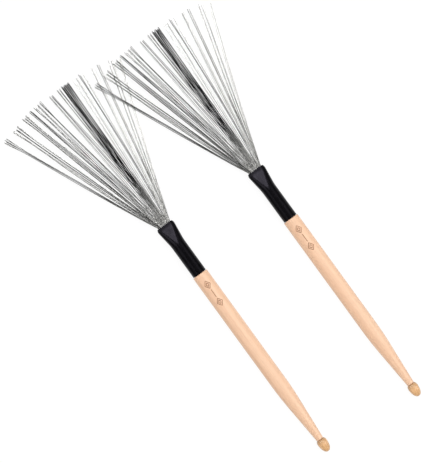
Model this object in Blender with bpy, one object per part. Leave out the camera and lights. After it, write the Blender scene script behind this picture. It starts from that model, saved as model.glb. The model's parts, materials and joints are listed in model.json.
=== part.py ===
"""A pair of wire drum brushes: wooden stick handles with a flat fan of spring wires at the front.

Lengths are in metres. In each brush's own frame Y runs along the brush towards the wire tips, with
Y = 0 at the mouth of the sleeve, X runs across the fan and Z = 0 is the table that the brush lies on.
Brush B lies to the right of brush A, with its left wires over brush A's right wires.
"""

import math

import bmesh
import bpy
from mathutils import Matrix, Vector

# Gap kept between pieces that touch on the real brush.
GAP = 0.0003
# Points closer than this are one point.
MERGE_DISTANCE = 1e-7

# Handle: a drum stick, turned from one blank.
HANDLE_RADIUS = 0.00735
STICK_LENGTH = 0.1935  # from the shoulder at the sleeve to the nose of the tip
GRIP_RADIUS = 0.00725  # where the taper ends and the grip begins
TAPER_END = 0.064  # from the nose to the middle of the bend between taper and grip
TAPER_BLEND = 0.012  # half the length of that bend
NECK_RADIUS = 0.0033
SHOULDER_CHAMFER = 0.0004
TENON_RADIUS = 0.00505
TENON_LENGTH = 0.030
TENON_CHAMFER = 0.0008
SPIGOT_RADIUS = 0.0016
SPIGOT_LENGTH = 0.006
TURNED_SIDES = 24
CONE_STEPS = 3
BLEND_STEPS = 3
GRIP_STEPS = 3

# Tip: a turned acorn on the handle's spigot.
TIP_LENGTH = 0.0125
TIP_RADIUS = 0.00475
TIP_WIDEST = 0.009  # from the nose to the widest place
TIP_NOSE_POWER = 0.42  # how blunt the nose is: 0.5 would be an ellipse
TIP_BORE_RADIUS = SPIGOT_RADIUS + GAP
NOSE_STEPS = 6
SHOULDER_STEPS = 5

# Sleeve and ferrule: round tubes, squashed flat at the mouth.
SLEEVE_LENGTH = 0.0535
SLEEVE_RADIUS = 0.00665
SLEEVE_WALL = 0.0006
MOUTH_HALF_FLAT = 0.0055
MOUTH_HALF_HEIGHT = 0.0032
LIP_HALF_FLAT = 0.0045  # the flat's half width at the very end, where the sleeve curls in
LIP_LENGTH = 0.0026
SQUASH_START = 0.0195  # behind the mouth; the tube is flattest where its lip begins
CAP_SEGMENTS = 8
FERRULE_WALL = 0.0004
FERRULE_INSET = LIP_LENGTH + GAP  # behind the sleeve's mouth
POTTING_LENGTH = 0.006

# Wires.
WIRE_RADIUS = 0.0002
PRONG_HALF_SIDE = WIRE_RADIUS * math.sqrt(math.pi) / 2  # a square wire with the round wire's section
ROOT_DEPTH = 0.0125  # behind the mouth
ROOT_BLOCK = 0.003  # length of the solder that holds the roots of one tuft
ROOT_MARGIN = 0.00004
ROWS = 6
ROW_PITCH = 0.00056
ROOT_ROW_PITCH = 0.00066
COLUMN_PITCH = 0.00062
ROOT_SPREAD = 0.83  # width of the bundle at its root, next to its width at the mouth
BEND_START = 0.0006  # behind the mouth
BEND_MIDDLE = 0.0035  # in front of the mouth
BOW_PLACE = 0.4  # where a wire bows most, as a share of its free length
RAGGED = 0.0022  # how much the wires of one tuft differ in length
PHASE_PER_ROW = 0.618  # these four steps scatter the wires evenly, in place of random numbers
PHASE_PER_TUFT = 0.37
LENGTH_STEP_PER_PHASE = 7.0
LENGTH_STEP_PER_WIRE = 0.41

# Tufts from left to right: direction and half spread in degrees, distance from the mouth's centre to
# the tips, sideways bow to the right, columns of wires at the mouth.
TUFTS = (
    (-26.1, 1.0, 0.1602, -0.0003, 2),
    (-21.3, 1.5, 0.1580, -0.0011, 2),
    (-16.6, 1.2, 0.1572, -0.0002, 2),
    (-13.9, 0.5, 0.1566, 0.0004, 1),
    (-10.7, 1.9, 0.1560, 0.0, 2),
    (-5.5, 0.9, 0.1534, 0.0007, 1),
    (-2.2, 0.8, 0.1532, 0.0002, 1),
    (0.6, 1.5, 0.1532, -0.0006, 4),
    (4.5, 1.2, 0.1528, -0.0004, 1),
    (7.0, 1.1, 0.1540, 0.0017, 1),
    (11.2, 0.6, 0.1546, 0.0, 1),
    (13.4, 0.5, 0.1547, 0.0007, 1),
    (17.7, 1.1, 0.1547, -0.0008, 1),
    (20.8, 0.6, 0.1547, -0.0016, 1),
)

# Heights of the wire tips above the table: middle row, and step from row to row.
TIPS_LEVEL = (0.0047, 0.0015)
TIPS_UNDER = (0.0025, 0.0007)
TIPS_OVER = (0.0104, 0.0007)

# Brush A's wires right of the first angle dip under brush B's wires left of the second.
DIP_FROM, DIP_TO = 8.2, 10.4
RISE_FROM, RISE_TO = -12.6, -13.4

# From brush A's mouth to brush B's.
BRUSH_OFFSET = (0.0937, -0.0076)

# Colour, roughness and metallic value.
FINISHES = {
    "wood": ((0.88, 0.63, 0.42, 1.0), 0.55, 0.0),
    "tip_wood": ((0.72, 0.43, 0.19, 1.0), 0.4, 0.0),
    "rubber": ((0.012, 0.011, 0.013, 1.0), 0.6, 0.0),
    "aluminium": ((0.75, 0.75, 0.76, 1.0), 0.35, 1.0),
    "potting": ((0.10, 0.09, 0.08, 1.0), 0.7, 0.0),
    "spring_wire": ((0.42, 0.43, 0.44, 1.0), 0.3, 1.0),
}


def clear_scene():
    for item in list(bpy.data.objects):
        bpy.data.objects.remove(item, do_unlink=True)


def smoothstep(low, high, value):
    t = min(max((value - low) / (high - low), 0.0), 1.0)
    return t * t * (3.0 - 2.0 * t)


def mix(a, b, t):
    return a + (b - a) * t


def finish_material(name, finish):
    colour, roughness, metallic = FINISHES[finish]
    material = bpy.data.materials.new(f"{name}_{finish}")
    material.use_nodes = True
    shader = material.node_tree.nodes["Principled BSDF"]
    shader.inputs["Base Color"].default_value = colour
    shader.inputs["Roughness"].default_value = roughness
    shader.inputs["Metallic"].default_value = metallic
    return material


def add_empty(name, place, parent=None):
    empty = bpy.data.objects.new(name, None)
    empty.empty_display_size = 0.01
    empty.location = place
    empty.parent = parent
    bpy.context.collection.objects.link(empty)
    return empty


def add_piece(name, mesh, finish, parent, place=(0.0, 0.0, 0.0), smooth_angle=35.0):
    """An object of its own, with its own material, under the parent empty."""
    mesh.name = name
    mesh.materials.clear()
    mesh.materials.append(finish_material(name, finish))
    mesh.shade_smooth()
    mesh.set_sharp_from_angle(angle=math.radians(smooth_angle))
    piece = bpy.data.objects.new(name, mesh)
    piece.parent = parent
    piece.location = place
    bpy.context.collection.objects.link(piece)
    return piece


def mesh_from(bm):
    bmesh.ops.recalc_face_normals(bm, faces=bm.faces)
    mesh = bpy.data.meshes.new("shape")
    bm.to_mesh(mesh)
    bm.free()
    return mesh


def turned_mesh(profile):
    """Spin a profile of (y, radius) points, whose two ends lie on the axis, about the Y axis."""
    bm = bmesh.new()
    verts = [bm.verts.new((radius, y, 0.0)) for y, radius in profile]
    edges = [bm.edges.new(pair) for pair in zip(verts, verts[1:])]
    bmesh.ops.spin(
        bm,
        geom=verts + edges,
        cent=(0.0, 0.0, 0.0),
        axis=(0.0, 1.0, 0.0),
        angle=math.tau,
        steps=TURNED_SIDES,
        use_merge=True,
    )
    bmesh.ops.remove_doubles(bm, verts=bm.verts, dist=MERGE_DISTANCE)
    return mesh_from(bm)


def add_ring(bm, points):
    return [bm.verts.new(point) for point in points]


def join_rings(bm, rings):
    """Quads between rings of equally many points, each joined to the next."""
    for ring, following in zip(rings, rings[1:]):
        for i in range(len(ring)):
            bm.faces.new((ring[i - 1], ring[i], following[i], following[i - 1]))


def squash_at(y):
    """Half width of the flat and half height of the sleeve's outside at y."""
    t = min(max((y + SQUASH_START) / (SQUASH_START - LIP_LENGTH), 0.0), 1.0)
    lip = max((y + LIP_LENGTH) / LIP_LENGTH, 0.0)
    half_flat = mix(0.0, MOUTH_HALF_FLAT, t) + mix(0.0, LIP_HALF_FLAT - MOUTH_HALF_FLAT, lip)
    return half_flat, mix(SLEEVE_RADIUS, MOUTH_HALF_HEIGHT, t)


def stadium(y, inset):
    """Points round the squashed tube at y, a distance inside the sleeve's outer surface."""
    half_flat, half_height = squash_at(y)
    radius = half_height - inset
    points = []
    for side in (1, -1):
        for step in range(CAP_SEGMENTS + 1):
            angle = side * math.pi / 2 - math.pi * step / CAP_SEGMENTS
            x = side * half_flat + radius * math.cos(angle)
            points.append(Vector((x, y, radius * math.sin(angle))))
    return points


def squashed_stations(rear, front):
    """The places along a squashed tube where its shape changes, with its two ends."""
    inner = [y for y in (-SQUASH_START, -LIP_LENGTH) if rear < y < front]
    return [rear] + inner + [front]


def squashed_tube_mesh(rear, front, outer_inset, inner_inset):
    bm = bmesh.new()
    stations = squashed_stations(rear, front)
    outer = [add_ring(bm, stadium(y, outer_inset)) for y in stations]
    inner = [add_ring(bm, stadium(y, inner_inset)) for y in stations]
    join_rings(bm, outer + inner[::-1] + outer[:1])
    bmesh.ops.remove_doubles(bm, verts=bm.verts, dist=MERGE_DISTANCE)
    return mesh_from(bm)


def squashed_plug_mesh(rear, front, inset):
    bm = bmesh.new()
    rings = [add_ring(bm, stadium(y, inset)) for y in squashed_stations(rear, front)]
    join_rings(bm, rings)
    bm.faces.new(rings[0])
    bm.faces.new(rings[-1])
    bmesh.ops.remove_doubles(bm, verts=bm.verts, dist=MERGE_DISTANCE)
    return mesh_from(bm)


def stick_radius(from_nose):
    """Radius of the stick: a cone from the neck that blends into the nearly straight grip."""
    grip_slope = (HANDLE_RADIUS - GRIP_RADIUS) / (STICK_LENGTH - TAPER_END)
    cone_slope = (GRIP_RADIUS - NECK_RADIUS) / (TAPER_END - TIP_LENGTH)
    past = from_nose - TAPER_END
    slope = cone_slope if past < 0 else grip_slope
    radius = GRIP_RADIUS + slope * past
    inside = max(TAPER_BLEND - abs(past), 0.0)
    return radius - (cone_slope - grip_slope) * inside**2 / (4 * TAPER_BLEND)


def stick_y(from_nose):
    return from_nose - SLEEVE_LENGTH - STICK_LENGTH


def handle_mesh():
    neck = TIP_LENGTH + GAP
    steps = range(-BLEND_STEPS, BLEND_STEPS + 1)
    blend = [TAPER_END + TAPER_BLEND * step / BLEND_STEPS for step in steps]
    cone = [mix(neck, blend[0], step / CONE_STEPS) for step in range(CONE_STEPS)]
    grip = [mix(blend[-1], STICK_LENGTH, step / GRIP_STEPS) for step in range(1, GRIP_STEPS)]
    outline = [(stick_y(s), stick_radius(s)) for s in cone + blend + grip]
    shoulder = stick_y(STICK_LENGTH)
    front = shoulder + TENON_LENGTH
    spigot_end = stick_y(neck - SPIGOT_LENGTH)
    profile = [(spigot_end, 0.0), (spigot_end, SPIGOT_RADIUS), (stick_y(neck), SPIGOT_RADIUS)]
    profile += outline
    profile += [
        (shoulder - SHOULDER_CHAMFER, HANDLE_RADIUS),
        (shoulder, HANDLE_RADIUS - SHOULDER_CHAMFER),
        (shoulder, TENON_RADIUS),
        (front - TENON_CHAMFER, TENON_RADIUS),
        (front, TENON_RADIUS - TENON_CHAMFER),
        (front, 0.0),
    ]
    return turned_mesh(profile)


def tip_mesh():
    """An acorn with a blunt nose and a round shoulder."""
    nose = []
    for step in range(1, NOSE_STEPS + 1):
        t = (step / NOSE_STEPS) ** 2
        nose.append((TIP_WIDEST * t, TIP_RADIUS * (1 - (1 - t) ** 2) ** TIP_NOSE_POWER))
    back = []
    for step in range(1, SHOULDER_STEPS + 1):
        turn = math.pi / 2 * step / SHOULDER_STEPS
        along = mix(TIP_WIDEST, TIP_LENGTH, math.sin(turn))
        back.append((along, mix(NECK_RADIUS, TIP_RADIUS, math.cos(turn))))
    bore_end = TIP_LENGTH - SPIGOT_LENGTH
    profile = [(0.0, 0.0)] + nose + back
    profile += [(TIP_LENGTH, TIP_BORE_RADIUS), (bore_end, TIP_BORE_RADIUS), (bore_end, 0.0)]
    return turned_mesh([(stick_y(s), radius) for s, radius in profile])


def tip_height(brush, direction, row):
    """Height above the table of a wire's tip."""
    level, other, share = TIPS_LEVEL, TIPS_UNDER, smoothstep(DIP_FROM, DIP_TO, direction)
    if brush == "b":
        other, share = TIPS_OVER, smoothstep(-RISE_FROM, -RISE_TO, -direction)
    middle = mix(level[0], other[0], share)
    return middle + mix(level[1], other[1], share) * (row - (ROWS - 1) / 2)


def wire_paths(brush, tuft):
    """The paths of one tuft's wires, from their roots to their tips, about the mouth's centre."""
    direction, half_spread, length, bow, columns = TUFTS[tuft]
    first_column = sum(entry[-1] for entry in TUFTS[:tuft])
    all_columns = sum(entry[-1] for entry in TUFTS)
    middle_x = (first_column + (columns - all_columns) / 2) * COLUMN_PITCH
    paths = []
    for row in range(ROWS):
        phase = (PHASE_PER_ROW * (row + 1) + PHASE_PER_TUFT * tuft) % 1.0
        lift = row - (ROWS - 1) / 2
        for index in range(columns):
            x = middle_x + (index - (columns - 1) / 2) * COLUMN_PITCH
            angle = direction + half_spread * (2 * (index + phase) / columns - 1)
            shorter = RAGGED * ((phase * LENGTH_STEP_PER_PHASE + index * LENGTH_STEP_PER_WIRE) % 1.0)
            turn = math.radians(angle)
            reach = length - shorter
            tip = Vector((reach * math.sin(turn), reach * math.cos(turn), 0.0))
            tip.z = tip_height(brush, angle, row) - HANDLE_RADIUS
            mouth = Vector((x, -BEND_START, lift * ROW_PITCH))
            root = Vector((x * ROOT_SPREAD, -ROOT_DEPTH + ROOT_BLOCK / 2, lift * ROOT_ROW_PITCH))
            share = (BEND_MIDDLE + BEND_START) / (tip.y + BEND_START)
            bend = mouth.lerp(tip, share)
            bend.x = mix(mouth.x, bend.x, 0.5)
            bend.z = mix(mouth.z, bend.z, 0.5)
            right = Vector((math.cos(turn), -math.sin(turn), 0.0))
            bowed = mouth.lerp(tip, BOW_PLACE) + right * bow
            paths.append((root, mouth, bend, bowed, tip))
    return paths


def square_prong(bm, path):
    """A closed bar of square section along the path, with the round wire's cross-section area."""
    half = PRONG_HALF_SIDE
    corners = ((-half, -half), (half, -half), (half, half), (-half, half))
    rings = []
    for index, point in enumerate(path):
        before = path[max(index - 1, 0)]
        after = path[min(index + 1, len(path) - 1)]
        along = (after - before).normalized()
        across = along.cross(Vector((0.0, 0.0, 1.0))).normalized()
        up = across.cross(along)
        rings.append(add_ring(bm, [point + across * u + up * v for u, v in corners]))
    join_rings(bm, rings)
    bm.faces.new(rings[0])
    bm.faces.new(rings[-1])


def root_block_mesh(paths):
    """The block of solder round the roots of one tuft."""
    margin = PRONG_HALF_SIDE + ROOT_MARGIN
    xs = [path[0].x for path in paths]
    zs = [path[0].z for path in paths]
    size = Vector((max(xs) - min(xs) + 2 * margin, ROOT_BLOCK, max(zs) - min(zs) + 2 * margin))
    middle = Vector(((max(xs) + min(xs)) / 2, paths[0][0].y, (max(zs) + min(zs)) / 2))
    bm = bmesh.new()
    box = Matrix.Translation(middle) @ Matrix.Diagonal(size.to_4d())
    bmesh.ops.create_cube(bm, size=1.0, matrix=box)
    return mesh_from(bm)


def tuft_mesh(brush, tuft):
    """One tuft: its wires joined with their root block into a single body."""
    paths = wire_paths(brush, tuft)
    bm = bmesh.new()
    for path in paths:
        square_prong(bm, path)
    prongs = bpy.data.objects.new("prongs", mesh_from(bm))
    block = bpy.data.objects.new("block", root_block_mesh(paths))
    for helper in (prongs, block):
        helper.hide_render = True
        helper.display_type = "WIRE"
        bpy.context.collection.objects.link(helper)
    union = block.modifiers.new("join", "BOOLEAN")
    union.operation = "UNION"
    union.solver = "EXACT"
    union.object = prongs
    joined = block.evaluated_get(bpy.context.evaluated_depsgraph_get())
    mesh = bpy.data.meshes.new_from_object(joined)
    bpy.data.objects.remove(block, do_unlink=True)
    bpy.data.objects.remove(prongs, do_unlink=True)
    return mesh


def build_brush(brush, root):
    """One brush under its root empty, which stands on the table below the sleeve's mouth."""
    name = f"brush_{brush}"
    axis = (0.0, 0.0, HANDLE_RADIUS)
    sleeve_rear = -SLEEVE_LENGTH + GAP
    ferrule_outer = SLEEVE_WALL + GAP
    ferrule_inner = ferrule_outer + FERRULE_WALL
    potting_front = -ROOT_DEPTH - GAP
    sleeve = squashed_tube_mesh(sleeve_rear, 0.0, 0.0, SLEEVE_WALL)
    ferrule = squashed_tube_mesh(sleeve_rear + GAP, -FERRULE_INSET, ferrule_outer, ferrule_inner)
    potting = squashed_plug_mesh(potting_front - POTTING_LENGTH, potting_front, ferrule_inner + GAP)
    pieces = [
        add_piece(f"{name}_handle", handle_mesh(), "wood", root, axis),
        add_piece(f"{name}_tip", tip_mesh(), "tip_wood", root, axis),
        add_piece(f"{name}_sleeve", sleeve, "rubber", root, axis, smooth_angle=25.0),
        add_piece(f"{name}_ferrule", ferrule, "aluminium", root, axis, smooth_angle=25.0),
        add_piece(f"{name}_potting", potting, "potting", root, axis),
    ]
    fan = add_empty(f"fan_{brush}_joint", axis, root)
    for tuft in range(len(TUFTS)):
        mesh = tuft_mesh(brush, tuft)
        pieces.append(add_piece(f"{name}_tuft_{tuft + 1:02d}", mesh, "spring_wire", fan))
    return pieces


def centre_on_origin(pieces, roots):
    """Move both brushes so that the origin is under the middle of their joint bounding box."""
    bpy.context.view_layer.update()
    corners = [piece.matrix_world @ Vector(corner) for piece in pieces for corner in piece.bound_box]
    shift = Vector((0.0, 0.0, 0.0))
    for axis in (0, 1):
        values = [corner[axis] for corner in corners]
        shift[axis] = (min(values) + max(values)) / 2
    for root in roots:
        root.location -= shift


def main():
    clear_scene()
    root_a = add_empty("brush_a_root", (0.0, 0.0, 0.0))
    root_b = add_empty("brush_b_root", (*BRUSH_OFFSET, 0.0))
    pieces = build_brush("a", root_a) + build_brush("b", root_b)
    centre_on_origin(pieces, (root_a, root_b))


main()
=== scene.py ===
"""Looks for the pair of wire drum brushes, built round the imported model.

Lengths are in metres. In each brush's own frame Y runs along the brush towards the wire tips, with
Y = 0 at the mouth of the sleeve, X runs across the fan and Z = 0 is the brush's axis.
"""

import json
import math

import bmesh
import bpy
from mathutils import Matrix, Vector


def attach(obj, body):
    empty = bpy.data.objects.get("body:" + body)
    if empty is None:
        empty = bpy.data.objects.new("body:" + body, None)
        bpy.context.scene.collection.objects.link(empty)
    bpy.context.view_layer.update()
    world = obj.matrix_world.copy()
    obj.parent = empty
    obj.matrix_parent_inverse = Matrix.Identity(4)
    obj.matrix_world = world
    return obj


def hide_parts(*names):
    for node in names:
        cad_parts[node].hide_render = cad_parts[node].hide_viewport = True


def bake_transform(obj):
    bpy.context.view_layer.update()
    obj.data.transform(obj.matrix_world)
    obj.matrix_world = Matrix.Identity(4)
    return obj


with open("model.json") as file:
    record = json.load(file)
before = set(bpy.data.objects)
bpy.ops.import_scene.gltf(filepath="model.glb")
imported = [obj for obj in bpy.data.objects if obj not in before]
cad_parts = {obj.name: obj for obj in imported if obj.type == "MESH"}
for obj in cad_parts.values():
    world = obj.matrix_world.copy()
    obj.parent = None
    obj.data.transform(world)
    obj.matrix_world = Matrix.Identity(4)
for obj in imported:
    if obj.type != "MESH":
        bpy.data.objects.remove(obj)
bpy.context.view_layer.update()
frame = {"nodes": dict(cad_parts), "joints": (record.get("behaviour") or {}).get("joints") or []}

BRUSHES = ("a", "b")
# The middle of each sleeve's mouth, which its fan bends about.
MOUTHS = {
    brush: Vector(joint["pos_m"])
    for brush in BRUSHES
    for joint in frame["joints"]
    if joint["name"] == f"fan_{brush}_flex"
}

# The design's own sizes, as in the CAD model. Only the wires are 10% thicker than there, because a thin
# dark wire on a bright floor looks paler than it is.
GAP = 0.0003
HANDLE_RADIUS = 0.00735
STICK_LENGTH = 0.1935
GRIP_RADIUS = 0.00725
TAPER_END = 0.064
TAPER_BLEND = 0.012
NECK_RADIUS = 0.0033
TENON_RADIUS = 0.00505
TENON_LENGTH = 0.030
SPIGOT_RADIUS = 0.0016
SPIGOT_LENGTH = 0.006
TIP_LENGTH = 0.0125
TIP_RADIUS = 0.00475
TIP_WIDEST = 0.009
TIP_NOSE_POWER = 0.42
SLEEVE_LENGTH = 0.0535
SLEEVE_RADIUS = 0.00665
SLEEVE_WALL = 0.0006
MOUTH_HALF_FLAT = 0.0055
MOUTH_HALF_HEIGHT = 0.0032
LIP_HALF_FLAT = 0.0045
LIP_LENGTH = 0.0026
SQUASH_START = 0.0195
WIRE_RADIUS = 0.00022
ROOT_DEPTH = 0.0125  # from the mouth back to the roots of the wires
ROOT_BLOCK = 0.003
ROWS = 6  # of wires behind each other in each column
ROW_PITCH = 0.00056
ROOT_ROW_PITCH = 0.00066
COLUMN_PITCH = 0.00062
ROOT_SPREAD = 0.83  # how wide the roots lie, as a share of the columns at the mouth
BEND_START = 0.0006  # behind the mouth
BEND_LENGTH = 0.009
RAGGED = 0.0022  # how much shorter than its tuft a wire can be
# Steps that set where each wire of a tuft lies across it, and how much shorter it is.
PHASE_PER_ROW = 0.618
PHASE_PER_TUFT = 0.37
LENGTH_STEP_PER_PHASE = 7.0
LENGTH_STEP_PER_WIRE = 0.41
# Height of the tips above the table, and the step from row to row: level, where brush A's fan dips under
# brush B's, and where brush B's fan rises over brush A's. Then the directions where they dip and rise.
TIPS_LEVEL = (0.0047, 0.0015)
TIPS_UNDER = (0.0025, 0.0007)
TIPS_OVER = (0.0104, 0.0007)
DIP_FROM, DIP_TO = 8.2, 10.4
RISE_FROM, RISE_TO = -12.6, -13.4

# Tufts from left to right: direction and half spread in degrees, distance from the mouth's centre to
# the tips, sideways bow to the right, columns of wires at the mouth.
TUFTS = (
    (-26.1, 1.0, 0.1602, -0.0003, 2),
    (-21.3, 1.5, 0.1580, -0.0011, 2),
    (-16.6, 1.2, 0.1572, -0.0002, 2),
    (-13.9, 0.5, 0.1566, 0.0004, 1),
    (-10.7, 1.9, 0.1560, 0.0, 2),
    (-5.5, 0.9, 0.1534, 0.0007, 1),
    (-2.2, 0.8, 0.1532, 0.0002, 1),
    (0.6, 1.5, 0.1532, -0.0006, 4),
    (4.5, 1.2, 0.1528, -0.0004, 1),
    (7.0, 1.1, 0.1540, 0.0017, 1),
    (11.2, 0.6, 0.1546, 0.0, 1),
    (13.4, 0.5, 0.1547, 0.0007, 1),
    (17.7, 1.1, 0.1547, -0.0008, 1),
    (20.8, 0.6, 0.1547, -0.0016, 1),
)

# How bright each tuft's wires are painted, from 0 to 1, as painted glints and painted shade: where
# across the tuft its darkest wires lie (-1 left, 1 right), their tone and the tone of the wires furthest
# from them.
# Then how far the tuft is pinched together before its tips, and how far its outer wires bow away from
# its middle.
TUFT_LOOKS = (
    (0.0, 0.22, 0.60, 0.40, -0.0003),
    (0.5, 0.02, 0.70, 0.2, 0.0006),
    (0.0, 0.15, 0.75, 0.3, 0.0008),
    (0.2, 0.0, 0.10, 0.0, 0.0012),
    (0.4, 0.0, 0.50, 0.1, 0.0006),
    (0.1, 0.0, 0.12, 0.0, 0.0007),
    (0.2, 0.0, 0.35, 0.0, 0.0006),
    (0.35, 0.0, 0.002, 0.0, 0.0005),
    (0.9, 0.55, 0.85, 0.0, 0.0012),
    (-1.0, 0.0, 0.45, 0.0, 0.0003),
    (-0.5, 0.60, 0.90, 0.0, 0.0006),
    (-0.9, 0.0, 0.70, 0.0, 0.0003),
    (0.0, 0.45, 0.80, 0.0, 0.0006),
    (-0.5, 0.80, 0.95, 0.0, 0.0003),
)

# Camera: straight down from far away, turned about the vertical.
CAMERA_ROLL = math.radians(-36.0)
CAMERA_LENS = 135.0  # in millimetres, as is the sensor
CAMERA_SENSOR = 36.0
CAMERA_REACH = 20.0  # how far it sees
VIEW_HEIGHT = 0.4098  # how much of the floor the camera sees, from bottom to top
VIEW_CENTRE = (0.0311, -0.0296)  # from brush A's mouth


def mix(a, b, t):
    return a + (b - a) * t


def clamp(value, low=0.0, high=1.0):
    return min(max(value, low), high)


def smoothstep(low, high, value):
    t = clamp((value - low) / (high - low))
    return t * t * (3.0 - 2.0 * t)


# ---------------------------------------------------------------------------------------------
# Materials


class Nodes:
    """Short calls for one material's node tree."""

    def __init__(self, name):
        self.material = bpy.data.materials.new(name)
        self.material.use_nodes = True
        self.tree = self.material.node_tree
        self.shader = self.tree.nodes["Principled BSDF"]

    def add(self, kind, **inputs):
        """A new node, with its sockets set or linked."""
        node = self.tree.nodes.new(kind)
        for name, value in inputs.items():
            self.put(node, name.replace("_", " "), value)
        return node

    def put(self, node, name, value):
        """Set a socket, or link another node's first output to it."""
        if isinstance(value, bpy.types.NodeSocket):
            self.tree.links.new(value, node.inputs[name])
        else:
            node.inputs[name].default_value = value

    def set(self, **inputs):
        """Set or link sockets of the material's own shader."""
        for name, value in inputs.items():
            self.put(self.shader, name.replace("_", " "), value)

    def place(self, scale, shift=(0.0, 0.0, 0.0)):
        """Object coordinates, stretched."""
        coordinates = self.add("ShaderNodeTexCoord")
        mapping = self.add("ShaderNodeMapping")
        self.put(mapping, "Vector", coordinates.outputs["Object"])
        self.put(mapping, "Scale", scale)
        self.put(mapping, "Location", shift)
        return mapping.outputs["Vector"]

    def noise(self, scale, shift=(0.0, 0.0, 0.0), detail=3.0, distortion=0.0):
        """Noise with its own number of waves per metre along each axis."""
        node = self.add("ShaderNodeTexNoise", Scale=1.0, Detail=detail, Distortion=distortion)
        self.put(node, "Vector", self.place(scale, shift))
        return node.outputs["Fac"]

    def ramp(self, value, *stops):
        """Map a value through (position, grey or colour) stops."""
        node = self.add("ShaderNodeValToRGB")
        self.put(node, "Fac", value)
        points = node.color_ramp.elements
        while len(points) < len(stops):
            points.new(0.5)
        for point, (position, colour) in zip(points, stops):
            point.position = position
            point.color = colour if hasattr(colour, "__len__") else (colour, colour, colour, 1.0)
        return node.outputs["Color"]

    def multiply(self, factor, first, second):
        """The first colour times the second, as far as factor says."""
        node = self.tree.nodes.new("ShaderNodeMix")
        node.data_type = "RGBA"
        node.blend_type = "MULTIPLY"
        for index, value in ((0, factor), (6, first), (7, second)):
            if isinstance(value, bpy.types.NodeSocket):
                self.tree.links.new(value, node.inputs[index])
            else:
                node.inputs[index].default_value = value
        return node.outputs[2]

    def bump(self, height, strength, distance):
        """Fine relief on the material's own shader."""
        node = self.add("ShaderNodeBump", Strength=strength, Distance=distance)
        self.put(node, "Height", height)
        self.put(self.shader, "Normal", node.outputs["Normal"])


def wood_material(brush):
    """Pale maple under thin lacquer, with straight grain along the stick."""
    n = Nodes(f"maple_{brush}")
    shift = (3.1, 0.4, 1.7) if brush == "a" else (7.9, 2.3, 5.2)
    bands = n.noise((420.0, 7.0, 160.0), shift, detail=2.0, distortion=0.4)
    fibres = n.noise((2600.0, 60.0, 2600.0), shift, detail=3.0)
    pores = n.noise((5200.0, 260.0, 5200.0), shift, detail=1.0)
    broad = n.ramp(bands, (0.3, (0.850, 0.525, 0.335, 1.0)), (0.7, (0.900, 0.590, 0.390, 1.0)))
    fine = n.ramp(fibres, (0.3, 0.90), (0.62, 1.0))
    specks = n.ramp(pores, (0.27, 0.78), (0.36, 1.0))
    colour = n.multiply(1.0, broad, fine)
    colour = n.multiply(0.7, colour, specks)
    n.set(Base_Color=colour, Roughness=n.ramp(fibres, (0.3, 0.52), (0.7, 0.42)))
    n.set(Coat_Weight=0.15, Coat_Roughness=0.25)
    n.bump(fibres, 0.25, 0.00006)
    return n.material


def tip_material(brush):
    """Amber lacquer over darker wood, with painted shade next to the handle and a painted highlight
    across its middle.
    """
    n = Nodes(f"amber_tip_{brush}")
    shift = (1.3, 8.4, 2.7) if brush == "a" else (4.9, 0.3, 6.2)
    grain = n.noise((900.0, 120.0, 900.0), shift, detail=3.0)
    colour = n.ramp(grain, (0.3, (0.66, 0.37, 0.165, 1.0)), (0.7, (0.84, 0.50, 0.245, 1.0)))
    # Painted shade at the shoulder next to the handle and a painted highlight across the widest part,
    # along the tip.
    rear = MOUTHS[brush].y + stick_y(TIP_LENGTH)
    place = n.place((1.0, -1.0 / TIP_LENGTH, 1.0), (0.0, rear / TIP_LENGTH, 0.0))
    to_nose = n.add("ShaderNodeSeparateXYZ", Vector=place).outputs["Y"]
    painted_shade_and_highlight = n.ramp(to_nose, (0.0, 0.70), (0.14, 0.80), (0.36, 1.0), (1.0, 0.93))
    colour = n.multiply(1.0, colour, painted_shade_and_highlight)
    n.set(Base_Color=colour, Roughness=n.ramp(grain, (0.3, 0.42), (0.7, 0.34)))
    n.set(Coat_Weight=0.4, Coat_Roughness=0.12)
    n.bump(grain, 0.15, 0.00005)
    return n.material


def rubber_material():
    """Smooth black shrink tube, with a faint bloom."""
    n = Nodes("black_rubber")
    bloom = n.noise((260.0, 150.0, 260.0), detail=4.0)
    grit = n.noise((5200.0, 5200.0, 5200.0), detail=2.0)
    colour = n.ramp(bloom, (0.3, (0.0008, 0.0008, 0.0009, 1.0)), (0.7, (0.0015, 0.0014, 0.0016, 1.0)))
    n.set(Base_Color=colour, Roughness=n.ramp(bloom, (0.3, 0.25), (0.7, 0.31)))
    n.set(Specular_IOR_Level=0.128, Specular_Tint=(0.86, 0.80, 1.0, 1.0))
    n.bump(grit, 0.12, 0.00004)
    return n.material


PAINTED_LIGHT_ATTRIBUTE = "painted_light_tone"


def wire_material():
    """Drawn spring steel with fine marks along it; each wire's tone is painted, as painted glints and
    painted shade.
    """
    n = Nodes("spring_steel")
    tone = n.add("ShaderNodeAttribute")
    tone.attribute_name = PAINTED_LIGHT_ATTRIBUTE
    marks = n.noise((5000.0, 140.0, 5000.0), detail=2.0)
    # From painted shade to painted glint, by each wire's painted tone.
    dark, pale = (0.012, 0.012, 0.013, 1.0), (0.86, 0.855, 0.83, 1.0)
    steel = n.ramp(tone.outputs["Fac"], (0.0, dark), (1.0, pale))
    colour = n.multiply(0.5, steel, n.ramp(marks, (0.3, 0.75), (0.6, 1.0)))
    n.set(Base_Color=colour, Metallic=1.0, Roughness=n.ramp(marks, (0.3, 0.40), (0.7, 0.27)))
    return n.material


def aluminium_material():
    """Drawn tube, with fine lines along it."""
    n = Nodes("drawn_aluminium")
    lines = n.noise((3000.0, 50.0, 3000.0), detail=2.0)
    colour = n.ramp(lines, (0.3, (0.62, 0.62, 0.63, 1.0)), (0.7, (0.78, 0.78, 0.79, 1.0)))
    n.set(Base_Color=colour, Metallic=1.0, Roughness=n.ramp(lines, (0.3, 0.42), (0.7, 0.30)))
    n.bump(lines, 0.1, 0.00003)
    return n.material


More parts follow.
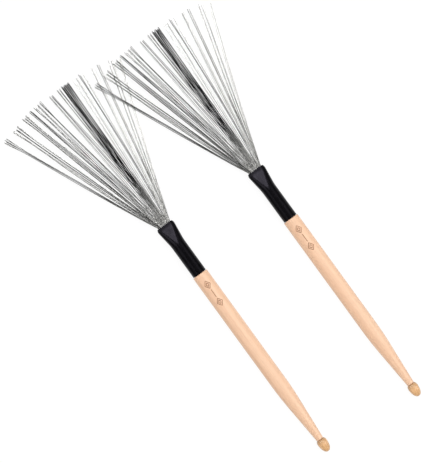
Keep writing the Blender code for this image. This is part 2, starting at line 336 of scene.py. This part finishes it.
def potting_material():
    """Cast adhesive."""
    n = Nodes("cast_adhesive")
    lumps = n.noise((500.0, 500.0, 500.0), detail=3.0)
    colour = n.ramp(lumps, (0.3, (0.07, 0.06, 0.05, 1.0)), (0.7, (0.13, 0.11, 0.09, 1.0)))
    n.set(Base_Color=colour, Roughness=n.ramp(lumps, (0.3, 0.7), (0.7, 0.5)))
    n.bump(lumps, 0.3, 0.0001)
    return n.material


def mark_material():
    """Brown stain pressed into the wood."""
    n = Nodes("pressed_mark")
    wear = n.noise((1800.0, 500.0, 1800.0), detail=3.0)
    colour = n.ramp(wear, (0.3, (0.42, 0.20, 0.10, 1.0)), (0.7, (0.27, 0.12, 0.055, 1.0)))
    n.set(Base_Color=colour, Roughness=0.6)
    n.bump(wear, 0.3, 0.00004)
    return n.material


# ---------------------------------------------------------------------------------------------
# Mesh helpers


SMOOTH_ANGLE = math.radians(35.0)
MERGE_DISTANCE = 1e-7


def add_piece(name, brush, verts, faces, material, slot, body):
    """A mesh piece of one brush, from points in the brush's own frame.

    It rides on body, unless that is None because a blend places it.
    """
    mesh = bpy.data.meshes.new(name)
    origin = MOUTHS[brush]
    mesh.from_pydata([tuple(Vector(point) + origin) for point in verts], [], faces)
    mesh.validate()
    bm = bmesh.new()
    bm.from_mesh(mesh)
    bmesh.ops.remove_doubles(bm, verts=bm.verts, dist=MERGE_DISTANCE)
    bmesh.ops.recalc_face_normals(bm, faces=bm.faces)
    bm.to_mesh(mesh)
    bm.free()
    mesh.shade_smooth()
    mesh.set_sharp_from_angle(angle=SMOOTH_ANGLE)
    mesh.materials.append(material)
    piece = bpy.data.objects.new(name, mesh)
    bpy.context.scene.collection.objects.link(piece)
    if body:
        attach(piece, body)
    return piece


def skin(rings, closed=False):
    """Points and faces of a surface through rings of equal size; closed joins the last to the first."""
    size = len(rings[0])
    verts = [point for ring in rings for point in ring]
    faces = []
    count = len(rings)
    for r in range(count if closed else count - 1):
        here, there = r * size, (r + 1) % count * size
        for i in range(size):
            j = (i + 1) % size
            faces.append((here + i, here + j, there + j, there + i))
    return verts, faces


def turned(profile, sides):
    """Turn a profile of (y, radius) points, whose ends lie on the Y axis."""
    rings = []
    for y, radius in profile[1:-1]:
        turns = [math.tau * k / sides for k in range(sides)]
        rings.append([(radius * math.cos(a), y, radius * math.sin(a)) for a in turns])
    verts, faces = skin(rings)
    first, last = len(verts), len(verts) + 1
    verts += [(0.0, profile[0][0], 0.0), (0.0, profile[-1][0], 0.0)]
    end = len(verts) - 2 - sides
    for i in range(sides):
        j = (i + 1) % sides
        faces.append((first, j, i))
        faces.append((last, end + i, end + j))
    return verts, faces


# ---------------------------------------------------------------------------------------------
# Handle and tip


def stick_y(from_nose):
    """Y of a point on the stick, from its distance to the nose of the tip."""
    return from_nose - SLEEVE_LENGTH - STICK_LENGTH


def stick_radius(from_nose):
    """A cone from the neck that blends into the nearly straight grip."""
    grip_slope = (HANDLE_RADIUS - GRIP_RADIUS) / (STICK_LENGTH - TAPER_END)
    cone_slope = (GRIP_RADIUS - NECK_RADIUS) / (TAPER_END - TIP_LENGTH)
    past = from_nose - TAPER_END
    slope = cone_slope if past < 0 else grip_slope
    inside = max(TAPER_BLEND - abs(past), 0.0)
    return GRIP_RADIUS + slope * past - (cone_slope - grip_slope) * inside**2 / (4 * TAPER_BLEND)


HANDLE_SIDES = 72
HANDLE_RINGS = 90
CORNER_STEPS = 5
SHOULDER_ROUND = 0.0005
TENON_ROUND = 0.0008
NECK_ROUND = 0.0003


def rounded_corner(y, radius, size, turn_from, turn_to):
    """Points round a small convex edge, about a centre at (y, radius)."""
    angles = [mix(turn_from, turn_to, k / CORNER_STEPS) for k in range(CORNER_STEPS + 1)]
    return [(y + size * math.sin(a), radius + size * math.cos(a)) for a in angles]


def handle_profile():
    """The turned handle, with a spigot for the tip and a tenon for the ferrule."""
    neck = TIP_LENGTH + GAP
    spigot_end = stick_y(neck - SPIGOT_LENGTH)
    shoulder = stick_y(STICK_LENGTH)
    front = shoulder + TENON_LENGTH
    quarter = math.pi / 2
    profile = [(spigot_end, 0.0), (spigot_end, SPIGOT_RADIUS), (stick_y(neck), SPIGOT_RADIUS)]
    edge = stick_radius(neck) - NECK_ROUND
    profile += rounded_corner(stick_y(neck) + NECK_ROUND, edge, NECK_ROUND, -quarter, 0)
    for k in range(1, HANDLE_RINGS):
        s = mix(neck + NECK_ROUND, STICK_LENGTH - SHOULDER_ROUND, k / HANDLE_RINGS)
        profile.append((stick_y(s), stick_radius(s)))
    edge = HANDLE_RADIUS - SHOULDER_ROUND
    profile += rounded_corner(shoulder - SHOULDER_ROUND, edge, SHOULDER_ROUND, 0, quarter)
    profile.append((shoulder, TENON_RADIUS))
    profile += rounded_corner(front - TENON_ROUND, TENON_RADIUS - TENON_ROUND, TENON_ROUND, 0, quarter)
    profile.append((front, 0.0))
    return profile


TIP_SIDES = 56
NOSE_STEPS = 22
SHOULDER_STEPS = 14


def tip_profile():
    """An acorn with a blunt nose and a round shoulder."""
    points = [(0.0, 0.0)]
    for k in range(1, NOSE_STEPS + 1):
        t = (k / NOSE_STEPS) ** 2
        points.append((TIP_WIDEST * t, TIP_RADIUS * (1 - (1 - t) ** 2) ** TIP_NOSE_POWER))
    for k in range(1, SHOULDER_STEPS + 1):
        turn = math.pi / 2 * k / SHOULDER_STEPS
        along = mix(TIP_WIDEST, TIP_LENGTH, math.sin(turn))
        points.append((along, mix(NECK_RADIUS, TIP_RADIUS, math.cos(turn))))
    bore = SPIGOT_RADIUS + GAP
    points += [(TIP_LENGTH, bore), (TIP_LENGTH - SPIGOT_LENGTH, bore), (TIP_LENGTH - SPIGOT_LENGTH, 0.0)]
    return [(stick_y(s), radius) for s, radius in points]


# The mark: a plain ornament of two lozenges with a bar between them, where a maker would stamp a number.
MARK_PROUD = 0.00004  # how far it stands out of the wood
MARK_LINE = 0.00064  # width of its lines
STROKE_STEPS = 6
LOZENGE_PLACES = (-0.0650, -0.0835)
LOZENGE_HALF = (0.0028, 0.0038)  # across and along
LOZENGE_SCALES = (1.0, 0.45)  # each lozenge and a small one inside it
BAR = (-0.0702, -0.0783)


def on_handle(x, y, height):
    """A point above the handle's upper side, x measured round the handle from its top line."""
    radius = stick_radius(y + SLEEVE_LENGTH + STICK_LENGTH)
    angle = x / radius
    return (math.sin(angle) * (radius + height), y, math.cos(angle) * (radius + height))


def stroke(points, verts, faces):
    """A thin raised line along points (x round the handle, y), drawn as a closed strip."""
    loop = points[0] == points[-1]
    path = []
    for (x0, y0), (x1, y1) in zip(points, points[1:]):
        steps = [k / STROKE_STEPS for k in range(STROKE_STEPS)]
        path += [(mix(x0, x1, t), mix(y0, y1, t)) for t in steps]
    if not loop:
        path.append(points[-1])
    count = len(path)
    start = len(verts)
    for k, (x, y) in enumerate(path):
        before = path[k - 1] if loop or k > 0 else path[k]
        after = path[(k + 1) % count] if loop or k < count - 1 else path[k]
        along = Vector((after[0] - before[0], after[1] - before[1])).normalized()
        side = Vector((-along.y, along.x)) * (MARK_LINE / 2)
        for sign, height in ((-1, -MARK_PROUD), (1, -MARK_PROUD), (1, MARK_PROUD), (-1, MARK_PROUD)):
            verts.append(on_handle(x + sign * side.x, y + sign * side.y, height))
    for k in range(count if loop else count - 1):
        here, there = start + 4 * k, start + 4 * ((k + 1) % count)
        for i in range(4):
            j = (i + 1) % 4
            faces.append((here + i, here + j, there + j, there + i))
    if not loop:
        faces.append(tuple(start + i for i in range(4)))
        faces.append(tuple(start + 4 * (count - 1) + i for i in (3, 2, 1, 0)))


def mark_mesh():
    """The whole mark, as points and faces."""
    verts, faces = [], []
    for middle in LOZENGE_PLACES:
        for scale in LOZENGE_SCALES:
            across, along = (half * scale for half in LOZENGE_HALF)
            corners = [(0.0, along), (across, 0.0), (0.0, -along), (-across, 0.0), (0.0, along)]
            stroke([(x, middle + y) for x, y in corners], verts, faces)
    stroke([(0.0, BAR[0]), (0.0, BAR[1])], verts, faces)
    return verts, faces


# ---------------------------------------------------------------------------------------------
# Sleeve


CAP_SEGMENTS = 20  # round each narrow side
FLAT_SEGMENTS = 6
RING_SPACING = 0.0009
SQUASH_SOFTNESS = 0.003
LIP_POWER = 1.6  # above 1, the mouth narrows late
LIP_ROUND = 0.00028
LIP_STEPS = 4


def soft_ramp(value, start, end, softness):
    """0 before start and 1 after end, straight between them, with both bends rounded."""

    def bend(x):
        """The positive part of x, rounded."""
        if x <= -softness:
            return 0.0
        if x >= softness:
            return x
        return (x + softness) ** 2 / (4 * softness)

    return (bend(value - start) - bend(value - end)) / (end - start)


def squash_at(y):
    """Half width of the flat and half height of the sleeve's outside at y."""
    t = soft_ramp(y, -SQUASH_START, -LIP_LENGTH, SQUASH_SOFTNESS)
    lip = clamp((y + LIP_LENGTH) / LIP_LENGTH) ** LIP_POWER
    half_flat = MOUTH_HALF_FLAT * t + (LIP_HALF_FLAT - MOUTH_HALF_FLAT) * lip
    return half_flat, mix(SLEEVE_RADIUS, MOUTH_HALF_HEIGHT, t)


def stadium(y, inset):
    """A ring round the squashed tube at y, a distance inside the sleeve's outer surface."""
    half_flat, half_height = squash_at(y)
    radius = half_height - inset
    ring = []
    for side in (1, -1):
        for k in range(CAP_SEGMENTS + 1):
            angle = side * math.pi / 2 - math.pi * k / CAP_SEGMENTS
            ring.append((side * half_flat + radius * math.cos(angle), y, radius * math.sin(angle)))
        z = -side * radius
        for k in range(1, FLAT_SEGMENTS):
            ring.append((side * half_flat * (1 - 2 * k / FLAT_SEGMENTS), y, z))
    return ring


def sleeve_rings():
    """Rings of the squashed tube with rounded ends, up the outside and back down the inside."""
    rear, front = -SLEEVE_LENGTH + GAP, 0.0
    steps = int((front - rear - 2 * LIP_ROUND) / RING_SPACING)
    straight = [mix(rear + LIP_ROUND, front - LIP_ROUND, k / steps) for k in range(steps + 1)]
    corner = []
    for k in range(1, LIP_STEPS + 1):
        turn = math.pi / 2 * k / LIP_STEPS
        corner.append((LIP_ROUND * (1 - math.sin(turn)), LIP_ROUND * (1 - math.cos(turn))))
    rings = [stadium(y, 0.0) for y in straight]
    rings += [stadium(front - from_end, inset) for from_end, inset in corner]
    rings += [stadium(y, SLEEVE_WALL) for y in [front] + straight[::-1] + [rear]]
    rings += [stadium(rear + from_end, inset) for from_end, inset in corner[::-1]]
    return rings


# ---------------------------------------------------------------------------------------------
# Wires


WIRE_SIDES = 8
WIRE_STEPS = 32
WIRE_STEP_POWER = 1.2  # above 1, the steps are shorter near the mouth
WIRE_END_BEVEL = 0.00006
WIRE_END_SCALE = 0.7
WANDER = 0.00022  # how far a wire strays from its bow
WANDER_TURNS = (9.7, 23.3)  # how fast its one and two waves change from wire to wire
BOW_SCATTER = 0.0004  # how much more or less a wire bows than its tuft
SCATTER_STEP = 5.31  # how fast that changes from wire to wire
BOW_PLACE = 0.4  # where a wire bows most, as a share of its free length
PINCH_FROM, PINCH_PLACE = 0.45, 0.87  # where it starts to pinch and where it is pinched most, likewise
# How far the wires of each row lean sideways at the mouth, as a share of the room to its nearer side.
ROW_LEAN = (0.36, -0.30, 0.20, -0.36, 0.30, -0.20)
CLUMPING = 0.7  # how far the wires of a tuft draw together into strands, from 0 to 1
FLARE = 0.45  # how far they spread out again at the tips, from 0 to 1
# Painted shade and painted glints on the wires: the upper wires of a tuft darker, and the tones near the
# mouth.
LAYER_CONTRAST = 2.4  # how much darker the upper wires of a tuft are than the lower ones
PAINTED_MOUTH_TONES = (0.10, 0.88)  # the darkest and the palest wire where they leave the mouth
MOUTH_TONE_POWER = 0.5  # below 1, more of them are pale
MOUTH_FADE = 0.056  # from there to where each wire has its own painted tone
ALL_COLUMNS = sum(columns for *_, columns in TUFTS)
HALF_MOUTH = (ALL_COLUMNS - 1) / 2 * COLUMN_PITCH


def tip_height(brush, direction, row):
    """Height above the table of a wire's tip."""
    level, other, share = TIPS_LEVEL, TIPS_UNDER, smoothstep(DIP_FROM, DIP_TO, direction)
    if brush == "b":
        other, share = TIPS_OVER, smoothstep(-RISE_FROM, -RISE_TO, -direction)
    middle = mix(level[0], other[0], share)
    return middle + mix(level[1], other[1], share) * (row - (ROWS - 1) / 2)


def wire_path(root, mouth, tip, bow, pinch, seed):
    """A smooth path from the root to the tip: out of the mouth, round a short bend, then on."""
    path = [root, root.lerp(mouth, 0.5), mouth]
    along = tip - mouth
    length = along.length
    straight = (mouth - root).normalized()
    right = Vector((along.y, -along.x, 0.0)).normalized()
    bow_power = math.log(0.5) / math.log(BOW_PLACE)
    one_wave, two_waves = (math.sin(seed * turns) for turns in WANDER_TURNS)
    for k in range(1, WIRE_STEPS + 1):
        t = (k / WIRE_STEPS) ** WIRE_STEP_POWER
        s = length * t
        # The bend: the wire leaves along the sleeve and swings to its own direction.
        swing = math.exp(-s / (BEND_LENGTH / 3))
        point = mouth + along * t + (straight - along.normalized()) * s * swing
        bowed = math.sin(math.pi * t**bow_power)
        pinched = smoothstep(PINCH_FROM, PINCH_PLACE, t) * (1.0 - smoothstep(PINCH_PLACE, 1.0, t))
        stray = math.sin(math.pi * t) * one_wave + 0.5 * math.sin(math.tau * t) * two_waves
        path.append(point + right * (bow * bowed - pinch * pinched + WANDER * stray))
    return path


def clumped(across, columns):
    """A place across a tuft, from -1 to 1, drawn towards the middle of its strand.

    There is one strand more than columns, and tufts of more than two columns clump less.
    """
    strands = columns + 1
    place = (across + 1) / 2 * strands
    middle = math.floor(place) + 0.5
    return 2 * mix(place, middle, CLUMPING * min(2 / columns, 1)) / strands - 1


def mouth_x(tuft, column):
    """X in the mouth of one of a tuft's columns of wires."""
    before = sum(columns for *_, columns in TUFTS[:tuft])
    return (before + column - (ALL_COLUMNS - 1) / 2) * COLUMN_PITCH


def wire_layout(brush, tuft):
    """Each wire of a tuft as (path, painted tone, painted tone at the mouth)."""
    direction, half_spread, length, bow, columns = TUFTS[tuft]
    core, dark, pale, pinch, belly = TUFT_LOOKS[tuft]
    layout = []
    for row in range(ROWS):
        phase = (PHASE_PER_ROW * (row + 1) + PHASE_PER_TUFT * tuft) % 1.0
        lift = row - (ROWS - 1) / 2
        layer = 2 * lift / (ROWS - 1)
        for column in range(columns):
            seed = phase + column * LENGTH_STEP_PER_WIRE + tuft
            scatter = 2 * ((seed * SCATTER_STEP) % 1.0) - 1

            # The tip, where the wires of a strand have spread out again.
            across = 2 * (column + phase) / columns - 1
            strand = clumped(across, columns)
            spread_out = mix(strand, across, FLARE)
            angle = direction + half_spread * spread_out
            turn = math.radians(angle)
            shorter = RAGGED * ((phase * LENGTH_STEP_PER_PHASE + column * LENGTH_STEP_PER_WIRE) % 1.0)
            reach = length - shorter
            height = tip_height(brush, angle, row) - HANDLE_RADIUS
            tip = Vector((reach * math.sin(turn), reach * math.cos(turn), height))

            # The mouth and the root behind it.
            x = mouth_x(tuft, column)
            leaning = x + ROW_LEAN[row] * (HALF_MOUTH - abs(x))
            mouth = Vector((leaning, -BEND_START, lift * ROW_PITCH))
            root = Vector((x * ROOT_SPREAD, -ROOT_DEPTH + ROOT_BLOCK / 2, lift * ROOT_ROW_PITCH))

            bowing = bow + belly * across + BOW_SCATTER * scatter
            squeeze = math.radians(half_spread * (spread_out - (1 - pinch) * strand)) * reach
            path = wire_path(root, mouth, tip, bowing, squeeze, seed)
            # Painted glints and painted shade: the wire's tone in its tuft, and another where it leaves
            # the mouth.
            tone = mix(dark, pale, clamp(abs(across - core))) ** 2.0 ** (LAYER_CONTRAST * layer)
            painted_mouth_tone = mix(*PAINTED_MOUTH_TONES, ((1.0 - scatter) / 2) ** MOUTH_TONE_POWER)
            layout.append((path, clamp(tone), painted_mouth_tone))
    return layout


def add_wire(path, verts, faces):
    """A round wire along the path, with bevelled ends."""
    rings = []
    last = len(path) - 1
    stations = [(0, 0.0, WIRE_END_SCALE), (0, WIRE_END_BEVEL, 1.0)]
    stations += [(k, 0.0, 1.0) for k in range(1, last)]
    stations += [(last, -WIRE_END_BEVEL, 1.0), (last, 0.0, WIRE_END_SCALE)]
    for k, shift, scale in stations:
        along = (path[min(k + 1, last)] - path[max(k - 1, 0)]).normalized()
        across = along.cross(Vector((0.0, 0.0, 1.0))).normalized()
        up = across.cross(along)
        centre = path[k] + along * shift
        ring = []
        for i in range(WIRE_SIDES):
            turn = math.tau * (i + 0.5) / WIRE_SIDES
            ring.append(centre + (across * math.cos(turn) + up * math.sin(turn)) * WIRE_RADIUS * scale)
        rings.append(ring)
    start = len(verts)
    points, quads = skin(rings)
    verts += points
    faces += [tuple(start + i for i in face) for face in quads]
    faces.append(tuple(start + i for i in range(WIRE_SIDES)))
    end = start + len(points) - WIRE_SIDES
    faces.append(tuple(end + i for i in reversed(range(WIRE_SIDES))))


def add_tuft(brush, tuft, material):
    """All wires of a tuft as one piece."""
    name = f"brush_{brush}_wires_{tuft + 1:02d}"
    verts, faces, painted_tones = [], [], []
    for path, tone, painted_mouth_tone in wire_layout(brush, tuft):
        add_wire(path, verts, faces)
        # Painted glints and painted shade: the tone at the mouth fades into the wire's painted tone
        # along it.
        for vert in verts[len(painted_tones) :]:
            painted_tones.append(mix(painted_mouth_tone, tone, smoothstep(0.0, MOUTH_FADE, vert.y)))
    piece = add_piece(name, brush, verts, faces, material, "spring_wire", None)
    attribute = piece.data.attributes.new(PAINTED_LIGHT_ATTRIBUTE, "FLOAT", "POINT")
    attribute.data.foreach_set("value", painted_tones)
    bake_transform(piece)
    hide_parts(f"brush_{brush}_tuft_{tuft + 1:02d}")


# ---------------------------------------------------------------------------------------------
# One brush


def add_brush(brush, shared):
    """The pieces of one brush; shared holds the materials that both brushes use."""
    name = f"brush_{brush}"
    wood = wood_material(brush)
    surface = turned(handle_profile(), HANDLE_SIDES)
    handle = add_piece(f"{name}_stick", brush, *surface, wood, "wood", name)
    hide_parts(f"{name}_handle")
    surface = turned(tip_profile(), TIP_SIDES)
    tip = add_piece(f"{name}_acorn", brush, *surface, tip_material(brush), "tip_wood", name)
    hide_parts(f"{name}_tip")
    surface = skin(sleeve_rings(), closed=True)
    sleeve = add_piece(f"{name}_sleeve_skin", brush, *surface, shared["rubber"], "rubber", name)
    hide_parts(f"{name}_sleeve")
    add_piece(f"{name}_mark", brush, *mark_mesh(), shared["mark"], "wood", name)
    for tuft in range(len(TUFTS)):
        add_tuft(brush, tuft, shared["wire"])
    for node, material in (("ferrule", shared["aluminium"]), ("potting", shared["potting"])):
        data = frame["nodes"][f"{name}_{node}"].data
        data.materials.clear()
        data.materials.append(material)


# ---------------------------------------------------------------------------------------------
# Stage


FLOOR_HALF = 4.0
FLOOR_DROP = 0.0002  # below the brushes
FLOOR_GREY = 0.12
FLOOR_GLOW = 0.90
WORLD_STRENGTH = 0.45
WORLD_IN_REFLECTIONS = 0.08
WORLD_SEEN = 1.0  # by the camera
LIGHT_TARGET = Vector((0.0, 0.02, 0.0))
# Soft lights for the matt surfaces: name, azimuth, elevation, distance, size, power.
SOFT_LIGHTS = (
    ("key", 40.0, 68.0, 1.6, (1.4, 1.4), 18.1),
    ("fill", 220.0, 60.0, 1.6, (1.4, 1.4), 5.2),
)
# Cards that show only as reflections: two bright and two dim ones round the brushes, and one above.
CARDS = (
    ("card_12", 12.0, 38.0, 1.2, (0.5, 1.1), 5.2),
    ("card_192", 192.0, 38.0, 1.2, (0.5, 1.1), 5.2),
    ("dim_card_55", 55.0, 38.0, 1.2, (0.5, 1.1), 1.2),
    ("dim_card_235", 235.0, 38.0, 1.2, (0.5, 1.1), 1.2),
    ("overhead", 116.0, 69.0, 1.5, (0.6, 0.4), 7.8),
)


def add_floor():
    """Pale paper, with a glow that keeps it nearly white all over."""
    mesh = bpy.data.meshes.new("floor")
    corners = [(x * FLOOR_HALF, y * FLOOR_HALF, 0.0) for x, y in ((-1, -1), (1, -1), (1, 1), (-1, 1))]
    mesh.from_pydata(corners, [], [(0, 1, 2, 3)])
    n = Nodes("floor_paper")
    n.set(Base_Color=(FLOOR_GREY, FLOOR_GREY, FLOOR_GREY, 1.0), Roughness=0.9, Specular_IOR_Level=0.0)
    n.set(Emission_Color=(1.0, 1.0, 1.0, 1.0), Emission_Strength=FLOOR_GLOW)
    mesh.materials.append(n.material)
    floor = bpy.data.objects.new("floor", mesh)
    bpy.context.scene.collection.objects.link(floor)
    floor.location.z = -FLOOR_DROP


def add_area(name, azimuth, elevation, distance, size, power, reflected):
    """An area light, seen either only in reflections or only by matt surfaces.

    The azimuth is in degrees, anticlockwise from the right side of the camera's view.
    """
    light = bpy.data.lights.new(name, "AREA")
    light.shape = "RECTANGLE"
    light.size, light.size_y = size
    light.energy = power
    lamp = bpy.data.objects.new(name, light)
    turn = math.radians(azimuth) + CAMERA_ROLL
    rise = math.radians(elevation)
    away = Vector((math.cos(turn) * math.cos(rise), math.sin(turn) * math.cos(rise), math.sin(rise)))
    lamp.location = LIGHT_TARGET + away * distance
    lamp.rotation_mode = "QUATERNION"
    lamp.rotation_quaternion = away.to_track_quat("Z", "Y")
    lamp.visible_glossy = reflected
    lamp.visible_diffuse = not reflected
    bpy.context.scene.collection.objects.link(lamp)


def add_world():
    """Even fill light, dim in reflections and white behind the floor's far edge."""
    world = bpy.data.worlds.new("studio")
    bpy.context.scene.world = world
    world.use_nodes = True
    tree = world.node_tree
    path = tree.nodes.new("ShaderNodeLightPath")

    def choose(output, otherwise, level):
        """A node that gives level for one kind of ray."""
        node = tree.nodes.new("ShaderNodeMix")
        node.data_type = "FLOAT"
        tree.links.new(path.outputs[output], node.inputs[0])
        node.inputs[2].default_value = otherwise
        node.inputs[3].default_value = level
        return node

    in_reflections = choose("Is Glossy Ray", WORLD_STRENGTH, WORLD_IN_REFLECTIONS)
    seen = choose("Is Camera Ray", WORLD_STRENGTH, WORLD_SEEN)
    tree.links.new(in_reflections.outputs[0], seen.inputs[2])
    background = tree.nodes["Background"]
    background.inputs["Color"].default_value = (1.0, 1.0, 1.0, 1.0)
    tree.links.new(seen.outputs[0], background.inputs["Strength"])


def add_lights():
    for light in SOFT_LIGHTS:
        add_area(*light, reflected=False)
    for card in CARDS:
        add_area(*card, reflected=True)


def add_camera():
    """Straight above the brushes, far away, so that lengths along and across them share one scale."""
    camera = bpy.data.cameras.new("camera")
    camera.lens = CAMERA_LENS
    camera.sensor_width = CAMERA_SENSOR
    camera.clip_end = CAMERA_REACH
    rig = bpy.data.objects.new("camera", camera)
    height = HANDLE_RADIUS + CAMERA_LENS / CAMERA_SENSOR * VIEW_HEIGHT
    rig.location = (MOUTHS["a"].x + VIEW_CENTRE[0], MOUTHS["a"].y + VIEW_CENTRE[1], height)
    rig.rotation_euler = (0.0, 0.0, CAMERA_ROLL)
    bpy.context.scene.collection.objects.link(rig)
    bpy.context.scene.camera = rig


def main():
    shared = {
        "rubber": rubber_material(),
        "wire": wire_material(),
        "aluminium": aluminium_material(),
        "potting": potting_material(),
        "mark": mark_material(),
    }
    for brush in BRUSHES:
        add_brush(brush, shared)
    add_floor()
    add_world()
    add_lights()
    add_camera()
    bpy.context.scene.view_settings.view_transform = "Standard"


main()
